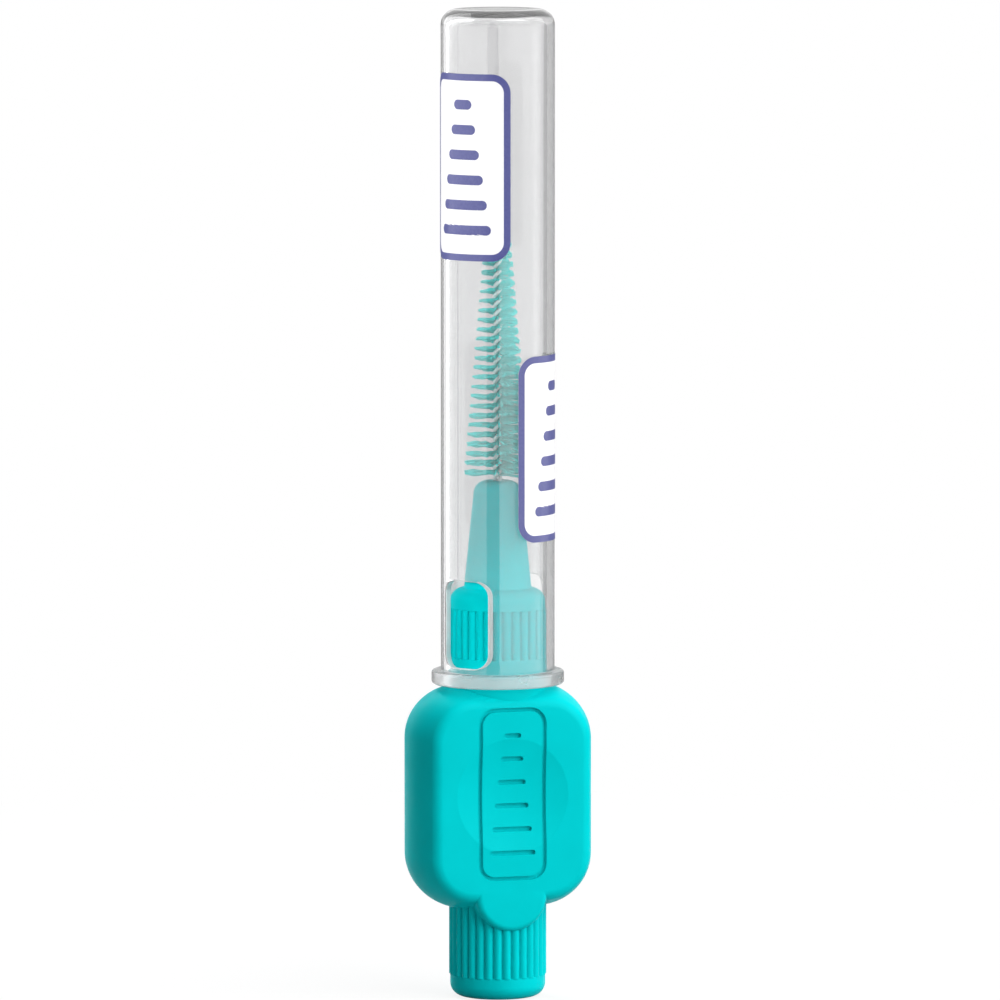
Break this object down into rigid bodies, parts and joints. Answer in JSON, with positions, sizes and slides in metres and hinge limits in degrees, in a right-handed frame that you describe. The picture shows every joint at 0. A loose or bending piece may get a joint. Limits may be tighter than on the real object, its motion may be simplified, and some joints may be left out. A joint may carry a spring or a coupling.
{
  "type": "interdental brush",
  "caption": "Interdental brush: a conical bristle head on a twisted wire, a flat thumb grip with ribbed ends, and a clear cap that pulls off.",
  "frame": {"origin": "centre of the lower end face of the handle's stub, on the long axis of the brush", "axes": "+Z along the wire towards the tip and the cap's closed end, -Y out of the front face of the grip, +X to the right of that face"},
  "size_m": [0.0138, 0.0098, 0.0735],
  "materials": {
    "handle_plastic": "satin moulded",
    "wire_steel": "drawn",
    "wire_coat": "smooth coat",
    "filament": "drawn nylon",
    "clear_plastic": "clear gloss",
    "white_ink": "printed"
  },
  "bodies": {
    "brush": {"handle": "handle_plastic", "core_wire": "wire_steel", "wire_coating": "wire_coat", "bristles": "filament"},
    "cap": {"cap": "clear_plastic", "panel_upper": "white_ink", "panel_lower": "white_ink"}
  },
  "joints": [
    {"name": "cap_slide", "type": "slide", "parent": "brush", "child": "cap", "axis": [0, 0, 1], "range_m": [0, 0.042]}
  ]
}
